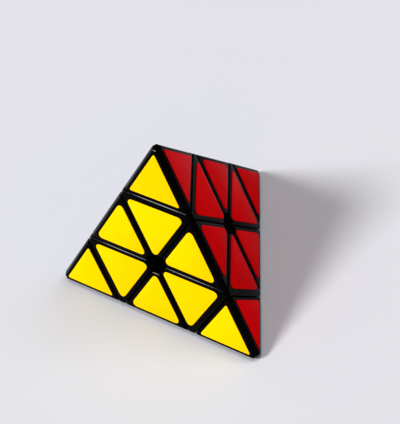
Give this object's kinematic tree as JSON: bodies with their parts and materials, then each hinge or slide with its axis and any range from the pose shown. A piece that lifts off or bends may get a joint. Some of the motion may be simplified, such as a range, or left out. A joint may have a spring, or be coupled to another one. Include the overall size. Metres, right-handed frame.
{
  "type": "pyramid twisty puzzle",
  "caption": "Pyramid puzzle of turning tips, axial pieces and edge pieces on a four-armed sprung core, with flat coloured triangle stickers on black plastic.",
  "frame": {"origin": "centre of the core's ball, where the four turning axes meet and where the mass centre lies", "axes": "+Z along the axis of the top corner; -Y towards the yellow face, so the left corner is at -X and the right corner at +X; it stands on the green face, 21 mm below the origin"},
  "size_m": [0.0946, 0.0823, 0.0776],
  "materials": {
    "black_plastic": "polished black moulded plastic",
    "core_plastic": "plain black moulded plastic",
    "screw_steel": "bright plated steel",
    "washer_steel": "plain steel",
    "spring_steel": "drawn spring wire",
    "sticker_green": "glossy vinyl",
    "sticker_red": "glossy vinyl",
    "sticker_blue": "glossy vinyl",
    "sticker_yellow": "glossy vinyl"
  },
  "bodies": {
    "core_unit": {"core": "core_plastic", "arm_screws": "screw_steel", "spring_washers": "washer_steel", "tension_springs": "spring_steel"},
    "tip_top": {"tip_cap_top": "black_plastic", "tip_base_top": "core_plastic", "sticker_tip_top_red": "sticker_red", "sticker_tip_top_blue": "sticker_blue", "sticker_tip_top_yellow": "sticker_yellow"},
    "tip_left": {"tip_cap_left": "black_plastic", "tip_base_left": "core_plastic", "sticker_tip_left_green": "sticker_green", "sticker_tip_left_blue": "sticker_blue", "sticker_tip_left_yellow": "sticker_yellow"},
    "tip_right": {"tip_cap_right": "black_plastic", "tip_base_right": "core_plastic", "sticker_tip_right_green": "sticker_green", "sticker_tip_right_red": "sticker_red", "sticker_tip_right_yellow": "sticker_yellow"},
    "tip_back": {"tip_cap_back": "black_plastic", "tip_base_back": "core_plastic", "sticker_tip_back_green": "sticker_green", "sticker_tip_back_red": "sticker_red", "sticker_tip_back_blue": "sticker_blue"},
    "axial_top_unit": {"axial_top": "black_plastic", "sticker_axial_top_red": "sticker_red", "sticker_axial_top_blue": "sticker_blue", "sticker_axial_top_yellow": "sticker_yellow"},
    "axial_left_unit": {"axial_left": "black_plastic", "sticker_axial_left_green": "sticker_green", "sticker_axial_left_blue": "sticker_blue", "sticker_axial_left_yellow": "sticker_yellow"},
    "axial_right_unit": {"axial_right": "black_plastic", "sticker_axial_right_green": "sticker_green", "sticker_axial_right_red": "sticker_red", "sticker_axial_right_yellow": "sticker_yellow"},
    "axial_back_unit": {"axial_back": "black_plastic", "sticker_axial_back_green": "sticker_green", "sticker_axial_back_red": "sticker_red", "sticker_axial_back_blue": "sticker_blue"},
    "edge_top_left_unit": {"edge_top_left": "black_plastic", "sticker_edge_top_left_blue": "sticker_blue", "sticker_edge_top_left_yellow": "sticker_yellow"},
    "edge_top_right_unit": {"edge_top_right": "black_plastic", "sticker_edge_top_right_red": "sticker_red", "sticker_edge_top_right_yellow": "sticker_yellow"},
    "edge_top_back_unit": {"edge_top_back": "black_plastic", "sticker_edge_top_back_red": "sticker_red", "sticker_edge_top_back_blue": "sticker_blue"},
    "edge_left_right_unit": {"edge_left_right": "black_plastic", "sticker_edge_left_right_green": "sticker_green", "sticker_edge_left_right_yellow": "sticker_yellow"},
    "edge_left_back_unit": {"edge_left_back": "black_plastic", "sticker_edge_left_back_green": "sticker_green", "sticker_edge_left_back_blue": "sticker_blue"},
    "edge_right_back_unit": {"edge_right_back": "black_plastic", "sticker_edge_right_back_green": "sticker_green", "sticker_edge_right_back_red": "sticker_red"}
  },
  "joints": [
    {"name": "layer_top", "type": "hinge", "parent": "core_unit", "child": "axial_top_unit", "pos_m": [0, 0, 0], "axis": [0, 0, 1], "range_deg": [-240, 120]},
    {"name": "layer_left", "type": "hinge", "parent": "core_unit", "child": "axial_left_unit", "pos_m": [0, 0, 0], "axis": [-0.8165, -0.4714, -0.3333], "range_deg": [-240, 120]},
    {"name": "layer_right", "type": "hinge", "parent": "core_unit", "child": "axial_right_unit", "pos_m": [0, 0, 0], "axis": [0.8165, -0.4714, -0.3333], "range_deg": [-240, 120]},
    {"name": "layer_back", "type": "hinge", "parent": "core_unit", "child": "axial_back_unit", "pos_m": [0, 0, 0], "axis": [0, 0.9428, -0.3333], "range_deg": [-240, 120]},
    {"name": "tip_top_turn", "type": "hinge", "parent": "axial_top_unit", "child": "tip_top", "pos_m": [0, 0, 0], "axis": [0, 0, 1], "continuous": true},
    {"name": "tip_left_turn", "type": "hinge", "parent": "axial_left_unit", "child": "tip_left", "pos_m": [0, 0, 0], "axis": [-0.8165, -0.4714, -0.3333], "continuous": true},
    {"name": "tip_right_turn", "type": "hinge", "parent": "axial_right_unit", "child": "tip_right", "pos_m": [0, 0, 0], "axis": [0.8165, -0.4714, -0.3333], "continuous": true},
    {"name": "tip_back_turn", "type": "hinge", "parent": "axial_back_unit", "child": "tip_back", "pos_m": [0, 0, 0], "axis": [0, 0.9428, -0.3333], "continuous": true},
    {"name": "edge_top_left_turn", "type": "hinge", "parent": "axial_top_unit", "child": "edge_top_left_unit", "pos_m": [0, 0, 0], "axis": [-0.8165, -0.4714, -0.3333], "range_deg": [-240, 120]},
    {"name": "edge_top_right_turn", "type": "hinge", "parent": "axial_top_unit", "child": "edge_top_right_unit", "pos_m": [0, 0, 0], "axis": [0.8165, -0.4714, -0.3333], "range_deg": [-240, 120]},
    {"name": "edge_top_back_turn", "type": "hinge", "parent": "axial_top_unit", "child": "edge_top_back_unit", "pos_m": [0, 0, 0], "axis": [0, 0.9428, -0.3333], "range_deg": [-240, 120]},
    {"name": "edge_left_right_turn", "type": "hinge", "parent": "axial_left_unit", "child": "edge_left_right_unit", "pos_m": [0, 0, 0], "axis": [0.8165, -0.4714, -0.3333], "range_deg": [-240, 120]},
    {"name": "edge_left_back_turn", "type": "hinge", "parent": "axial_back_unit", "child": "edge_left_back_unit", "pos_m": [0, 0, 0], "axis": [-0.8165, -0.4714, -0.3333], "range_deg": [-240, 120]},
    {"name": "edge_right_back_turn", "type": "hinge", "parent": "axial_right_unit", "child": "edge_right_back_unit", "pos_m": [0, 0, 0], "axis": [0, 0.9428, -0.3333], "range_deg": [-240, 120]}
  ],
  "couplings": [
    {"joint": "edge_top_left_turn", "follows": "layer_left", "ratio": 1},
    {"joint": "edge_top_right_turn", "follows": "layer_right", "ratio": 1},
    {"joint": "edge_top_back_turn", "follows": "layer_back", "ratio": 1},
    {"joint": "edge_left_right_turn", "follows": "layer_right", "ratio": 1},
    {"joint": "edge_left_back_turn", "follows": "layer_left", "ratio": 1},
    {"joint": "edge_right_back_turn", "follows": "layer_back", "ratio": 1}
  ]
}
